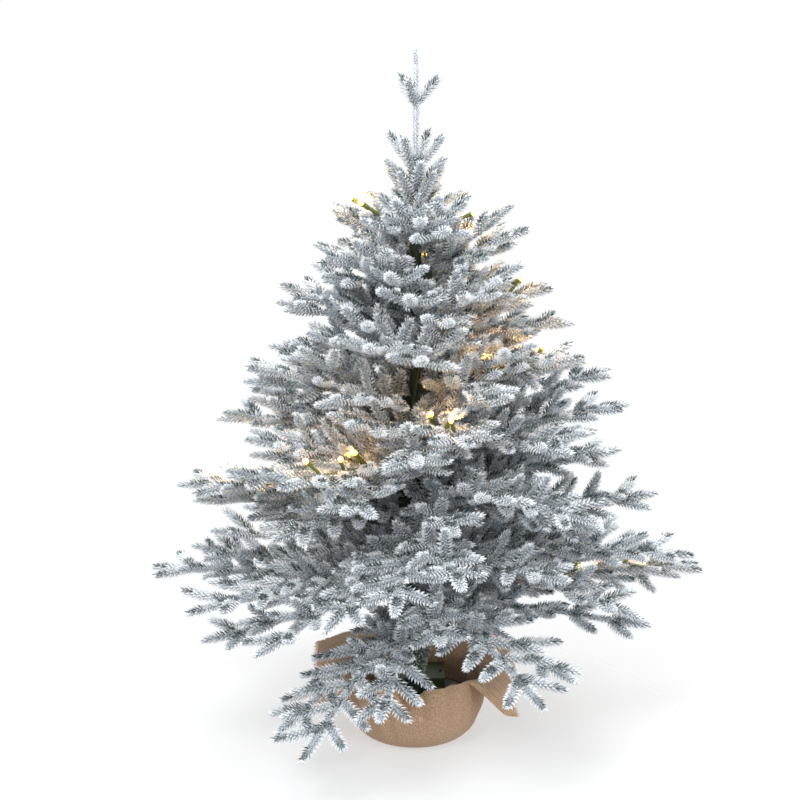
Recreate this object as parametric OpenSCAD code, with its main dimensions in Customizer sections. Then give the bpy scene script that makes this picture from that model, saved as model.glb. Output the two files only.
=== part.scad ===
// Artificial tabletop tree: thirty hinged branches on a steel pole, standing in a weighted
// tub inside a cloth sack, with a battery light string. Millimetres, +Z up, and the origin
// lies under the trunk, where the sack rests.

/* [Trunk] */
// Outer radius of the pole
pole_r = 6; // [5:0.5:8]
// Wall of the pole tube
pole_wall = 1; // [0.8:0.1:1.5]
// Height of the pole's lower end, which is cast into the weight
pole_foot_z = 6; // [5:0.5:10]
// Height of the pole's upper end
pole_top_z = 574; // [540:1:700]
// Radius of the sleeve at the foot of the trunk
sleeve_r = 10; // [9:0.25:10.5]
// Height of the sleeve's top, where the green wrap starts
sleeve_top_z = 62; // [56:0.5:70]
// Radius of the wrap at its lower end
wrap_low_r = 11; // [9:0.5:14]
// Radius of the wrap at its upper end
wrap_top_r = 22; // [16:0.5:26]
// Height of the wrap's upper end
wrap_top_z = 126; // [100:1:134]

/* [Branches] */
// Number of branches
branch_count = 30; // [24:1:30]
// Direction of the lowest branch, in degrees
first_turn = 245; // [0:1:359]
// Height of the lowest hinge
low_z = 146; // [142:1:170]
// Height of the highest hinge
high_z = 548; // [500:1:560]
// How much closer together the low hinges stand
crowding = 1.15; // [1:0.01:1.2]
// Length of the lowest branches
low_reach = 325; // [240:1:340]
// Length of the highest branches
high_reach = 90; // [75:1:110]
// Uneven length of the branches, as a share
reach_wobble = 0.07; // [0:0.01:0.08]
// Slope of the lowest branches, in degrees
low_slope = -3; // [-6:0.5:4]
// Slope of the highest branches, in degrees
high_slope = 24; // [16:0.5:28]
// How far the low branches in front hang down, in degrees
front_droop = 17; // [0:0.5:18]
// How much shorter those branches are, as a share
front_short = 0.22; // [0:0.01:0.3]
// Radius of the branch wire
stem_r = 1.7; // [1.2:0.1:2]

/* [Foliage tips] */
// Radius of a moulded tip
tip_r = 5; // [4:0.1:5.2]
// Distance between the pairs of tips on a branch
tip_pitch = 36; // [34:1:50]
// Length of the outer tips
outer_tip = 50; // [40:1:54]
// Length of the inner tips
inner_tip = 78; // [55:1:80]
// Angle of a tip to its branch, in degrees
tip_angle = 48; // [42:1:52]
// Rise of a tip above its branch, in degrees
tip_lift = 6; // [0:1:10]

/* [Hinges] */
// Distance of the hinge pins from the trunk's centre
pin_turn_r = 12.5; // [11.5:0.1:14]
// Radius of a hinge pin
pin_r = 0.8; // [0.7:0.05:1]
// Running clearance round a pin
pin_gap = 0.05; // [0.03:0.01:0.1]
// Radius of the eye on the end of a branch
eye_r = 3.2; // [2.8:0.1:3.6]
// Width of the eye
eye_w = 3; // [2.6:0.1:3.2]
// Gap between the eye and each cheek of its clip
cheek_gap = 0.3; // [0.2:0.05:0.5]
// Thickness of a cheek
cheek_t = 1.4; // [1.2:0.1:1.8]

/* [Leader] */
// Height of the tree's tip
tree_h = 750; // [700:1:860]
// Radius of the leader's wire
leader_wire_r = 1.6; // [1.2:0.1:2]

/* [Base] */
// Widest radius of the sack
sack_r = 75; // [74:0.5:85]
// Radius of the sack's flat bottom
sack_foot_r = 44; // [40:0.5:52]
// Thickness of the gathered cloth
cloth_t = 1.6; // [1.2:0.1:2]
// Height of the sack's mouth
mouth_z = 64; // [60:0.5:70]
// Radius that the turned-out collar reaches
collar_r = 112; // [100:1:118]
// Height of the weight's flat top
weight_z = 36; // [30:0.5:40]
// Wall of the tub
tub_wall = 1.6; // [1.2:0.1:2.4]

/* [Battery box] */
// Length of a size AA cell
cell_len = 50.5; // [50.5]
// Radius of a size AA cell
cell_r = 7.25; // [7.25]
// Wall of the box
box_wall = 1.4; // [1.2:0.1:1.6]
// Thickness of the cover
cover_t = 1.5; // [1.2:0.1:2]
// Width of the switch strip
strip_w = 10; // [9:0.5:11]
// Travel of the switch
switch_travel = 4; // [3:0.5:5]

/* [Lights] */
// Radius of a bulb holder
holder_r = 2.6; // [2.2:0.1:2.8]
// Length of a bulb holder
holder_len = 20; // [16:1:22]
// Radius of the lead
lead_r = 0.8; // [0.6:0.05:1]
// Radius of a bulb's lens
lens_r = 2.3; // [2:0.1:2.6]

/* [Hidden] */
BRANCHES = [
    "branch_01", "branch_02", "branch_03", "branch_04", "branch_05", "branch_06",
    "branch_07", "branch_08", "branch_09", "branch_10", "branch_11", "branch_12",
    "branch_13", "branch_14", "branch_15", "branch_16", "branch_17", "branch_18",
    "branch_19", "branch_20", "branch_21", "branch_22", "branch_23", "branch_24",
    "branch_25", "branch_26", "branch_27", "branch_28", "branch_29", "branch_30"];
LIGHTS = [
    "lights_02", "lights_05", "lights_08", "lights_11", "lights_14", "lights_17",
    "lights_20", "lights_23", "lights_26"];

golden_turn = 137.508;
root_r = 1.2;            // radius of a tip where it leaves its branch
touch = 0.04;            // gap between pieces that are pressed or cast together
cast_gap = 0.3;          // shrinkage of the cement away from its tub
loose = 0.2;             // gap between pieces that only rest on each other
round_fn = 48;
small_fn = 24;
end_tip_share = 0.25;    // the last quarter of a branch is its end tip
bend_share = 0.42;       // a branch bends down a little here
first_pair_back = 50;    // distance of the outermost pair of tips from the branch's end
last_pair_q = 26;        // no pair of tips stands nearer to the hinge than this
tip_wedge = 0.6;         // a tip stays inside the wedge that its branch has round the trunk
stem_collar = 0.8;       // a collar at a bend stands out from its wire by this much
lead_collar = 0.3;
lead_lift = stem_r + stem_collar + 1.25;  // height of the lead, which clears the collars
lead_start_q = 9;        // the lead starts this far from the hinge
light_shares = [0.34, 0.53, 0.71];  // places of a branch's bulbs along it
light_stand = 4;         // height of a bulb holder's base above the branch wire
light_tilt = 42;         // slope of a bulb holder to its branch
light_side = 0.35;       // how far it leans to one side
wire_turn_r = 7.4;       // radius that the wire winds round the pole at
wrap_gap = 0.4;          // gap between the wire and the wrap

// ---------- rules that place the branches ----------

// Even spread of values from -1 to 1, one for each pair of whole numbers
function spread(i, k) = 2 * ((i * 0.618034 + k * 0.414214) % 1) - 1;
function rank(i) = i / (branch_count - 1);
function turn_of(i) = first_turn + golden_turn * i;
function low_share(i) = (1 - rank(i)) ^ 2;
function front_share(i) = low_share(i) * max(0, -sin(turn_of(i)));
function hinge_z(i) = low_z + (high_z - low_z) * rank(i) ^ crowding;
function reach(i) = (low_reach + (high_reach - low_reach) * rank(i))
    * (1 - reach_wobble * spread(i, 1)) * (1 - front_short * front_share(i));
function slope(i) = low_slope + (high_slope - low_slope) * rank(i)
    + 2.5 * spread(i, 2) - front_droop * front_share(i);
// The branch is three straight lengths that bend gently down
function slope_1(i) = slope(i) + 4;
function slope_2(i) = slope(i);
function slope_3(i) = slope(i) - 3;
function along(a) = [cos(a), 0, sin(a)];
function bend_1(i) = along(slope_1(i)) * reach(i) * bend_share;
function bend_2(i) = bend_1(i) + along(slope_2(i)) * reach(i) * (1 - bend_share - end_tip_share);
function slope_at(i, q) = q <= reach(i) * bend_share ? slope_1(i)
    : q <= reach(i) * (1 - end_tip_share) ? slope_2(i) : slope_3(i);
function point_at(i, q) = q <= reach(i) * bend_share
    ? along(slope_1(i)) * q
    : q <= reach(i) * (1 - end_tip_share)
    ? bend_1(i) + along(slope_2(i)) * (q - reach(i) * bend_share)
    : bend_2(i) + along(slope_3(i)) * (q - reach(i) * (1 - end_tip_share));

// ---------- shared shapes ----------

// Puts a branch's own frame at its hinge: x runs outwards, and y is the pin
module at_hinge(i) {
    rotate([0, 0, turn_of(i)])
        translate([pin_turn_r, 0, hinge_z(i)])
            children();
}

// Turns +Z to the direction v
module aim(from, v) {
    translate(from)
        rotate([0, acos(v.z / norm(v)), atan2(v.y, v.x)])
            children();
}

// A round rod between two points
module rod(from, to, r) {
    aim(from, to - from)
        cylinder(h = norm(to - from), r = r, $fn = 8);
}

// A short collar that joins two rods where they meet at a slight angle
module knuckle(at, v, r) {
    aim(at - v * r, v)
        cylinder(h = 2 * r, r = r, $fn = 8);
}

// A moulded tip: thin at the branch, full along its middle and blunt at its end
module moulded_tip(len, r) {
    cylinder(h = len * 0.3, r = root_r, $fn = 6);
    translate([0, 0, len * 0.2])
        cylinder(h = len * 0.62, r = r, $fn = 6);
    translate([0, 0, len * 0.7])
        cylinder(h = len * 0.3, r = r * 0.6, $fn = 6);
}

// A tube swept along points, as one closed mesh
module swept(points, r, sides) {
    last = len(points) - 1;
    function ahead(k) = points[min(k + 1, last)] - points[max(k - 1, 0)];
    function side_of(t) = let (c = cross(t, [0, 0, 1])) norm(c) < 0.001 * norm(t)
        ? [1, 0, 0] : c / norm(c);
    rings = [for (k = [0 : last]) let (t = ahead(k) / norm(ahead(k)), s = side_of(t), u = cross(s, t))
        for (j = [0 : sides - 1]) points[k]
            + r * (cos(360 * j / sides) * s + sin(360 * j / sides) * u)];
    polyhedron(rings, concat(
        [[for (j = [0 : sides - 1]) j]],
        [for (k = [0 : last - 1]) for (j = [0 : sides - 1]) let (n = (j + 1) % sides)
            [k * sides + j, (k + 1) * sides + j, (k + 1) * sides + n, k * sides + n]],
        [[for (j = [sides - 1 : -1 : 0]) last * sides + j]]));
}

// A box with round upright edges
module slab(size, r) {
    linear_extrude(size.z) {
        translate([r, 0])
            square([size.x - 2 * r, size.y]);
        translate([0, r])
            square([size.x, size.y - 2 * r]);
        for (x = [r, size.x - r])
            for (y = [r, size.y - r])
                translate([x, y])
                    circle(r, $fn = small_fn);
    }
}

// ---------- base ----------

belly_z = 46;
tub_foot_r = sack_foot_r - cloth_t - 1;
tub_foot_z = cloth_t + loose;
tub_belly_z = 22;
tub_belly_r = sack_r - cloth_t - 6.5;
tub_rim_r = sack_r - cloth_t - 3.6;

module burlap_sack() color("burlywood") {
    rotate_extrude($fn = 96)
        polygon([[0, 0], [sack_foot_r, 0], [sack_foot_r + 14, 4], [sack_r - 6, 20], [sack_r, belly_z],
            [sack_r - 1.5, mouth_z], [sack_r - 1.5 - cloth_t, mouth_z], [sack_r - cloth_t, belly_z],
            [sack_r - 6 - cloth_t, 21], [sack_foot_r + 13, 4 + cloth_t], [sack_foot_r, cloth_t], [0, cloth_t]]);
    rotate([0, 0, -38])
        rotate_extrude(angle = 256, $fn = 96)
            polygon([[sack_r - 1.5 - cloth_t, mouth_z], [sack_r - 1.5 - cloth_t, mouth_z - 4],
                [sack_r - 1.5, mouth_z - 4], [sack_r + 8, mouth_z + 6], [collar_r, mouth_z + 8],
                [collar_r, mouth_z + 8 + cloth_t], [sack_r + 7, mouth_z + 6 + cloth_t]]);
}

module tub_outline(t) {
    polygon([[0, tub_foot_z + t], [tub_foot_r - t * 0.6, tub_foot_z + t], [tub_belly_r - t, tub_belly_z],
        [tub_rim_r - t, weight_z], [0, weight_z]]);
}

module weight_tub() color("dimgray")
    rotate_extrude($fn = 96)
        difference() {
            tub_outline(0);
            tub_outline(tub_wall);
        }

module cement_fill() color("darkgray")
    difference() {
        rotate_extrude($fn = 96)
            tub_outline(tub_wall + cast_gap);
        translate([0, 0, pole_foot_z])
            cylinder(h = weight_z, r = pole_r + touch, $fn = round_fn);
    }

// ---------- trunk ----------

module trunk_pole() color("darkslategray")
    translate([0, 0, pole_foot_z])
        difference() {
            cylinder(h = pole_top_z - pole_foot_z, r = pole_r, $fn = round_fn);
            translate([0, 0, -1])
                cylinder(h = pole_top_z - pole_foot_z + 2, r = pole_r - pole_wall, $fn = round_fn);
        }

module trunk_foot_sleeve() color("darkgreen")
    translate([0, 0, weight_z])
        difference() {
            cylinder(h = sleeve_top_z - weight_z, r = sleeve_r, $fn = round_fn);
            translate([0, 0, -1])
                cylinder(h = sleeve_top_z - weight_z + 2, r = pole_r + touch, $fn = round_fn);
        }

module trunk_wrap() color("seagreen")
    translate([0, 0, sleeve_top_z + touch])
        difference() {
            cylinder(h = wrap_top_z - sleeve_top_z, r1 = wrap_low_r, r2 = wrap_top_r, $fn = round_fn);
            translate([0, 0, -1])
                cylinder(h = wrap_top_z - sleeve_top_z + 2, r = pole_r + touch, $fn = round_fn);
        }

cap_plug = 8;
cap_flange = 2;

module pole_cap() color("darkgreen")
    difference() {
        translate([0, 0, pole_top_z])
            union() {
                cylinder(h = cap_flange, r = pole_r, $fn = round_fn);
                translate([0, 0, -cap_plug])
                    cylinder(h = cap_plug, r = pole_r - pole_wall - touch, $fn = round_fn);
            }
        translate([0, 0, pole_top_z - cap_plug - 1])
            cylinder(h = cap_plug + cap_flange + 2, r = leader_wire_r + touch, $fn = small_fn);
    }

// ---------- leader ----------

// Each whorl: how far it stands below the tip, number of tips, first turn, length, slope
whorls = [[167, 5, 20, 48, 54], [128, 4, 65, 46, 50], [60, 3, 10, 34, 48]];
shoot_len = 164;

module leader() color("lightgray") {
    translate([0, 0, pole_top_z - cap_plug])
        cylinder(h = tree_h - 20 - pole_top_z + cap_plug, r = leader_wire_r, $fn = small_fn);
    translate([0, 0, tree_h - shoot_len])
        moulded_tip(shoot_len, 3.6);
    for (w = whorls)
        for (k = [0 : w[1] - 1])
            rotate([0, 0, w[2] + k * 360 / w[1]])
                translate([0, 0, tree_h - w[0]])
                    rotate([0, 90 - w[4], 0])
                        moulded_tip(w[3], tip_r);
}

// ---------- hinges ----------

slot_w = eye_w + 2 * cheek_gap;
clip_w = slot_w + 2 * cheek_t;
clip_reach = pin_turn_r + 5;
clip_low = 5.5;
clip_high = 4;
stop_gap = 0.1;

// Outline of a clip from the side, with x away from the trunk
module clip_side() {
    difference() {
        translate([pole_r - pin_turn_r - 1, -clip_low])
            square([clip_reach - pole_r + 1, clip_low + clip_high]);
        circle(pin_r + pin_gap, $fn = small_fn);
    }
}

// Its middle: the back plate, and the floor that stops the branch
module clip_middle(i) {
    difference() {
        translate([pole_r - pin_turn_r - 1, -clip_low])
            square([clip_reach - pole_r + 1, clip_low + clip_high]);
        circle(eye_r + cheek_gap, $fn = small_fn);
        rotate(slope_1(i))
            translate([0, -stem_r - stop_gap])
                square([20, 20]);
        translate([0.4 - eye_r, 0])
            square([2 * eye_r, 20]);
    }
}

module one_clip(i) {
    difference() {
        rotate([90, 0, 0]) {
            for (side = [-1, 1])
                translate([0, 0, side * (slot_w + cheek_t) / 2 - cheek_t / 2])
                    linear_extrude(cheek_t)
                        clip_side();
            translate([0, 0, -slot_w / 2])
                linear_extrude(slot_w)
                    clip_middle(i);
        }
        translate([-pin_turn_r, 0, -clip_low - 1])
            cylinder(h = clip_low + clip_high + 2, r = pole_r + touch, $fn = round_fn);
    }
}

module branch_clips() color("darkgreen")
    for (i = [0 : branch_count - 1])
        at_hinge(i)
            one_clip(i);

module hinge_pins() color("silver")
    for (i = [0 : branch_count - 1])
        at_hinge(i)
            rotate([90, 0, 0]) {
                cylinder(h = clip_w + 0.8, r = pin_r, center = true, $fn = small_fn);
                translate([0, 0, clip_w / 2 + 0.1])
                    cylinder(h = 0.6, r = pin_r + 0.6, $fn = small_fn);
            }

// ---------- branches ----------

function pair_count(i) = floor((reach(i) - first_pair_back - last_pair_q) / tip_pitch) + 1;

// One side tip: k counts pairs from the branch's end, and side is -1 or 1
module side_tip(i, k, side) {
    q = reach(i) - first_pair_back - tip_pitch * k - (side > 0 ? 6 : -2);
    angle = tip_angle + 5 * spread(i + k, 3);
    lift = tip_lift + 6 * spread(3 * i + k, side + 5);
    full = outer_tip + (inner_tip - outer_tip) * min(1, k / 4);
    room = (pin_turn_r + q) * tip_wedge / sin(angle) + 8;
    aim(point_at(i, q), tip_heading(i, q, angle, lift, side))
        moulded_tip(min(full, room), tip_r);
}

function tip_heading(i, q, angle, lift, side) = let (a = slope_at(i, q))
    (along(a) * cos(angle) + [0, side * sin(angle), 0]) * cos(lift)
    + [-sin(a), 0, cos(a)] * sin(lift);

module branch(i) color("slategray")
    at_hinge(i) {
        difference() {
            rotate([90, 0, 0])
                cylinder(h = eye_w, r = eye_r, center = true, $fn = small_fn);
            rotate([90, 0, 0])
                cylinder(h = eye_w + 2, r = pin_r + pin_gap, center = true, $fn = small_fn);
        }
        rod(along(slope_1(i)) * 2, bend_1(i) - along(slope_1(i)) * 0.5, stem_r);
        knuckle(bend_1(i), along(slope_1(i)), stem_r + stem_collar);
        rod(bend_1(i) + along(slope_2(i)) * 0.5, bend_2(i) - along(slope_2(i)) * 0.5, stem_r);
        knuckle(bend_2(i), along(slope_2(i)), stem_r + stem_collar);
        aim(bend_2(i) + along(slope_3(i)) * 0.5, along(slope_3(i)))
            moulded_tip(reach(i) * end_tip_share - 0.5, tip_r);
        for (k = [0 : pair_count(i) - 1])
            for (side = [-1, 1])
                side_tip(i, k, side);
    }

// ---------- battery box layout ----------

box_z = weight_z;
box_front_y = sleeve_r + 4;
cell_pitch = 2 * cell_r + 0.5;
box_len_y = 3 * cell_pitch + 2 * box_wall;
spring_len = 5.2;
plate_t = 0.4;
cell_x0 = -34 + box_wall + 0.1 + plate_t + spring_len;
divider_x = cell_x0 + cell_len + plate_t + 0.1;
box_x1 = divider_x + strip_w;
box_size_x = box_x1 + 34;
cell_z = box_z + box_wall + cell_r + 0.15;
wall_top_z = cell_z + cell_r + 0.85;
cover_z = wall_top_z + 0.05;
lid_gap = 0.3;
screw_x = -29.2;
screw_y = box_front_y + box_wall + cell_pitch;
slot_y = box_front_y + box_len_y / 2;
knob_w = 2.6;
knob_len = 4.4;
function cell_y(k) = box_front_y + box_wall + cell_pitch * (k + 0.5);
deck_x = (divider_x + box_wall + box_x1 - box_wall) / 2;

// ---------- lights ----------

module bulb_holder(from, v) {
    aim(from, v)
        cylinder(h = holder_len, r = holder_r, $fn = small_fn);
}

module bulb_lens(from, v) {
    aim(from, v)
        translate([0, 0, holder_len + touch])
            rotate_extrude($fn = small_fn)
                polygon([[0, 0], [lens_r, 0], [lens_r, 3], [lens_r * 0.8, 4.5], [lens_r * 0.4, 5.2], [0, 5.3]]);
}

function light_heading(i, q, side) = let (a = slope_at(i, q))
    along(a) * cos(light_tilt) + [-sin(a), 0, cos(a)] * sin(light_tilt) + [0, side * light_side, 0];
function above(i, q, h) = let (a = slope_at(i, q)) point_at(i, q) + [-sin(a), 0, cos(a)] * h;

module lights(i) {
    last_q = reach(i) * light_shares[2];
    bend_q = reach(i) * bend_share;
    at_hinge(i) {
        color("olive") {
            rod(above(i, lead_start_q, lead_lift), above(i, bend_q - 0.4, lead_lift), lead_r);
            knuckle(above(i, bend_q - 0.01, lead_lift), along(slope_1(i)), lead_r + lead_collar);
            rod(above(i, bend_q + 0.4, lead_lift), above(i, last_q + 3, lead_lift), lead_r);
            for (k = [0 : 2])
                bulb_holder(above(i, reach(i) * light_shares[k], light_stand),
                    light_heading(i, reach(i) * light_shares[k], k % 2 == 0 ? -1 : 1));
        }
        color("gold")
            for (k = [0 : 2])
                bulb_lens(above(i, reach(i) * light_shares[k], light_stand),
                    light_heading(i, reach(i) * light_shares[k], k % 2 == 0 ? -1 : 1));
    }
}

function polar(turn, r, z) = [r * cos(turn), r * sin(turn), z];

// The four bulbs that stand out near the top: turn, radius and height of each tip
top_bulbs = [[176, 70, 594], [192, 60, 592], [-8, 64, 580], [10, 50, 574]];
top_lead_z = 557;
function lead_root(b) = polar(b[0], wire_turn_r + lead_r + 0.3, top_lead_z);
function bulb_way(b) = let (v = polar(b[0], b[1], b[2]) - lead_root(b)) v / norm(v);
function bulb_base(b) = polar(b[0], b[1], b[2]) - bulb_way(b) * (holder_len + 3 + lens_r);

module leader_bulb_holders() color("olive")
    for (b = top_bulbs) {
        rod(lead_root(b), bulb_base(b) + bulb_way(b), lead_r);
        bulb_holder(bulb_base(b), bulb_way(b));
    }

module leader_leds() color("gold")
    for (b = top_bulbs)
        bulb_lens(bulb_base(b), bulb_way(b));

// The wire leaves the battery box, climbs round the wrap, then winds up the pole midway
// between the three rows of hinges, and ends in a turn under the leader
function wrap_r(z) = z < sleeve_top_z ? wrap_low_r
    : wrap_low_r + (wrap_top_r - wrap_low_r) * (z - sleeve_top_z) / (wrap_top_z - sleeve_top_z);
row_turn = 3 * golden_turn - 360;
function pole_turn(i) = first_turn + 60 + row_turn / 3 * i;
wrap_turns = [for (k = [0 : 11]) let (u = k / 11, z = weight_z + 24 + u * (wrap_top_z - weight_z - 24))
    polar(u * 275, wrap_r(z) + lead_r + wrap_gap, z)];
box_exit = [[29, box_front_y - 0.1, weight_z + 8], [28, 9, weight_z + 9], [22, 2, weight_z + 15]];
over_top = [polar(290, wrap_top_r - 4, wrap_top_z + 4), polar(300, 12, wrap_top_z + 9)];
pole_turns = [for (k = [0 : 41]) let (i = (branch_count - 1) * k / 41)
    polar(pole_turn(i), wire_turn_r, hinge_z(i))];
top_turns = [for (k = [1 : 14]) polar(pole_turn(branch_count - 1) + 24 * k, wire_turn_r,
    high_z + (top_lead_z - high_z) * min(1, k / 4))];

module light_wire() color("olive")
    swept(concat(box_exit, wrap_turns, over_top, pole_turns, top_turns), lead_r, 8);

// ---------- battery box ----------

module battery_case() color("darkolivegreen")
    difference() {
        union() {
            difference() {
                translate([-34, box_front_y, box_z])
                    slab([box_size_x, box_len_y, wall_top_z - box_z], 3);
                translate([-34 + box_wall, box_front_y + box_wall, box_z + box_wall])
                    cube([divider_x + 34 - box_wall, box_len_y - 2 * box_wall, 30]);
                translate([divider_x + box_wall, box_front_y + box_wall, box_z + box_wall])
                    cube([box_x1 - divider_x - 2 * box_wall, box_len_y - 2 * box_wall, 30]);
            }
            translate([divider_x + lid_gap, box_front_y, wall_top_z])
                slab([box_x1 - divider_x - lid_gap, box_len_y, cover_t], 1);
            translate([screw_x, screw_y, box_z + box_wall])
                cylinder(h = wall_top_z - box_z - box_wall, r = 2, $fn = small_fn);
        }
        translate([screw_x, screw_y, box_z + box_wall + 4])
            cylinder(h = 40, r = 1.3, $fn = small_fn);
        translate([deck_x - knob_w / 2 - 0.25, slot_y - (knob_len + switch_travel) / 2 - 0.3, wall_top_z - 1])
            cube([knob_w + 0.5, knob_len + switch_travel + 0.6, cover_t + 2]);
    }

module battery_cover() color("olivedrab")
    difference() {
        union() {
            translate([-34, box_front_y, cover_z])
                slab([divider_x + 34, box_len_y, cover_t], 1);
            for (k = [0 : 2])
                translate([cell_x0 + 10, cell_y(k) - 3, cover_z - 0.5])
                    cube([cell_len - 20, 6, 0.6]);
        }
        translate([screw_x, screw_y, cover_z - 2])
            cylinder(h = cover_t + 4, r = 1.15, $fn = small_fn);
        translate([screw_x, screw_y, cover_z + cover_t - 0.7])
            cylinder(h = 2, r = 2.1, $fn = small_fn);
    }

module cover_screw() color("silver")
    translate([screw_x, screw_y, 0])
        difference() {
            union() {
                translate([0, 0, cover_z + cover_t - 0.65])
                    cylinder(h = 0.65, r = 2, $fn = small_fn);
                translate([0, 0, cover_z - 6])
                    cylinder(h = 6 + cover_t - 0.5, r = 1.1, $fn = small_fn);
            }
            for (a = [0, 90])
                rotate([0, 0, a])
                    translate([-1.2, -0.2, cover_z + cover_t - 0.3])
                        cube([2.4, 0.4, 1]);
        }

module switch_slider() color("black") {
    translate([deck_x - 3, slot_y - 6, wall_top_z - 1.5])
        cube([6, 12, 1.2]);
    translate([deck_x - knob_w / 2, slot_y - knob_len / 2, wall_top_z - 1])
        cube([knob_w, knob_len, cover_t + 2.2]);
}

module battery_cells() color("goldenrod")
    for (k = [0 : 2])
        translate([k % 2 == 0 ? cell_x0 : cell_x0 + cell_len, cell_y(k), cell_z])
            rotate([0, k % 2 == 0 ? 90 : -90, 0])
                union() {
                    cylinder(h = cell_len - 1, r = cell_r, $fn = round_fn);
                    cylinder(h = cell_len, r = 2.6, $fn = small_fn);
                }

module cell_springs() color("silver")
    for (k = [0 : 2])
        swept([for (s = [0 : 30]) let (u = s / 30)
            [cell_x0 - spring_len + 0.45 + (spring_len - 0.9) * u,
                cell_y(k) + 3.2 * cos(1080 * u), cell_z + 3.2 * sin(1080 * u)]], 0.35, 6);

module contact_plates() color("lightgray") {
    for (k = [0 : 2]) {
        translate([cell_x0 - spring_len - plate_t, cell_y(k) - 4.5, cell_z - 4.5])
            cube([plate_t, 9, 9]);
        translate([cell_x0 + cell_len + 0.05, cell_y(k) - 4.5, cell_z - 4.5])
            cube([plate_t, 9, 9]);
    }
}

module timer_board() color("forestgreen") {
    translate([divider_x + box_wall + 0.3, box_front_y + 4, box_z + 6])
        cube([box_x1 - divider_x - 2 * box_wall - 0.6, box_len_y - 8, 1.2]);
    translate([deck_x - 2, slot_y - 12, box_z + 7])
        cube([4, 5, 1.8]);
    translate([deck_x, slot_y + 10, box_z + 7])
        cylinder(h = 5, r = 2, $fn = small_fn);
    translate([deck_x - 2.5, slot_y - 4, box_z + 7])
        cube([5, 8, 4.2]);
}

burlap_sack();
weight_tub();
cement_fill();
trunk_pole();
trunk_foot_sleeve();
trunk_wrap();
pole_cap();
leader();
branch_clips();
hinge_pins();
light_wire();
leader_bulb_holders();
leader_leds();
battery_case();
battery_cover();
cover_screw();
switch_slider();
battery_cells();
cell_springs();
contact_plates();
timer_board();
for (i = [0 : branch_count - 1])
    branch(i);
for (k = [0 : 8])
    lights(3 * k + 1);
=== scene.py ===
import math
import random

import bpy
from mathutils import Matrix, Vector


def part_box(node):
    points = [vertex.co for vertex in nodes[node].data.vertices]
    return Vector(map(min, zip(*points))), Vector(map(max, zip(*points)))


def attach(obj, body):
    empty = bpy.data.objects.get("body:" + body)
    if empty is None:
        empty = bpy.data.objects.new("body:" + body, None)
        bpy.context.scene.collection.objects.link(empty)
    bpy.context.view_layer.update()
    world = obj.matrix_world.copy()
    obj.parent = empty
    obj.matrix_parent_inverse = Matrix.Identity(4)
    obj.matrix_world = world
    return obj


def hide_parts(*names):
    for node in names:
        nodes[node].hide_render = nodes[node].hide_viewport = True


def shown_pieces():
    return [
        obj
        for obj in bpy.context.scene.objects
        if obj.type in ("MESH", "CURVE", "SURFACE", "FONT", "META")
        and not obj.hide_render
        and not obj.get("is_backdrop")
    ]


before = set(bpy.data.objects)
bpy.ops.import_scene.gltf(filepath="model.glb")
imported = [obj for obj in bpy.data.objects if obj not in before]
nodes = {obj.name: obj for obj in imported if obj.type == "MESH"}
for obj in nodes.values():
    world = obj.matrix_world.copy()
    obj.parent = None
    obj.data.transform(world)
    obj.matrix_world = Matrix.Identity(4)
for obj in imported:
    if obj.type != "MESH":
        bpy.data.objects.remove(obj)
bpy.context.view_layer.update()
mm = 0.001
goldenTurn = 137.508    # degrees from one to the next, so that none stands over another
print("stage: frame loaded,", len(nodes), "nodes")


def deselectAll():
    if bpy.context.mode != "OBJECT":
        bpy.ops.object.mode_set(mode="OBJECT")
    bpy.ops.object.select_all(action="DESELECT")


def pick(obj):
    deselectAll()
    obj.select_set(True)
    bpy.context.view_layer.objects.active = obj


def settle(obj):
    # the piece's place goes into its mesh
    pick(obj)
    bpy.ops.object.transform_apply(location=True, rotation=True, scale=True)
    return obj


def joined(parts, name):
    deselectAll()
    for part in parts:
        part.select_set(True)
    bpy.context.view_layer.objects.active = parts[0]
    if len(parts) > 1:
        bpy.ops.object.join()
    parts[0].name = name
    return settle(parts[0])


def copyOf(obj, place):
    new = obj.copy()
    new.data = obj.data.copy()
    new.matrix_world = place
    bpy.context.collection.objects.link(new)
    return new


def applyModifiers(obj):
    pick(obj)
    for modifier in list(obj.modifiers):
        bpy.ops.object.modifier_apply(modifier=modifier.name)


def facing(axis, up):
    # a turn whose z is the axis and whose y leans towards up
    z = Vector(axis).normalized()
    x = Vector(up).cross(z).normalized()
    y = z.cross(x)
    return Matrix((x, y, z)).transposed().to_4x4()


def onlyMap(obj, name):
    # the piece keeps one UV map
    for other in [x.name for x in obj.data.uv_layers if x.name != name]:
        obj.data.uv_layers.remove(obj.data.uv_layers[other])
    if name not in obj.data.uv_layers:
        obj.data.uv_layers.new(name=name)
    return obj.data.uv_layers[name]


def setPaint(obj, u, v=None):
    # the piece's UV map holds how much flock it carries (u) and the way along it (v)
    layer = onlyMap(obj, "flock")
    for item in layer.data:
        item.uv = (u, item.uv.y if v is None else v)


def coat(obj, material):
    # the piece wears this material alone
    obj.data.materials.clear()
    obj.data.materials.append(material)


def spread(i, k):
    # an even spread of values from -1 to 1
    return 2 * ((i * 0.618034 + k * 0.414214) % 1) - 1


def smoothStep(x):
    x = max(0.0, min(1.0, x))
    return x * x * (3 - 2 * x)


def newGroup(name, inputs, outputs):
    group = bpy.data.node_groups.new(name, "ShaderNodeTree")
    for label, kind, value in inputs:
        socket = group.interface.new_socket(label, in_out="INPUT", socket_type=kind)
        socket.default_value = value
    for label, kind in outputs:
        group.interface.new_socket(label, in_out="OUTPUT", socket_type=kind)
    return group, group.nodes.new("NodeGroupInput"), group.nodes.new("NodeGroupOutput")


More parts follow.
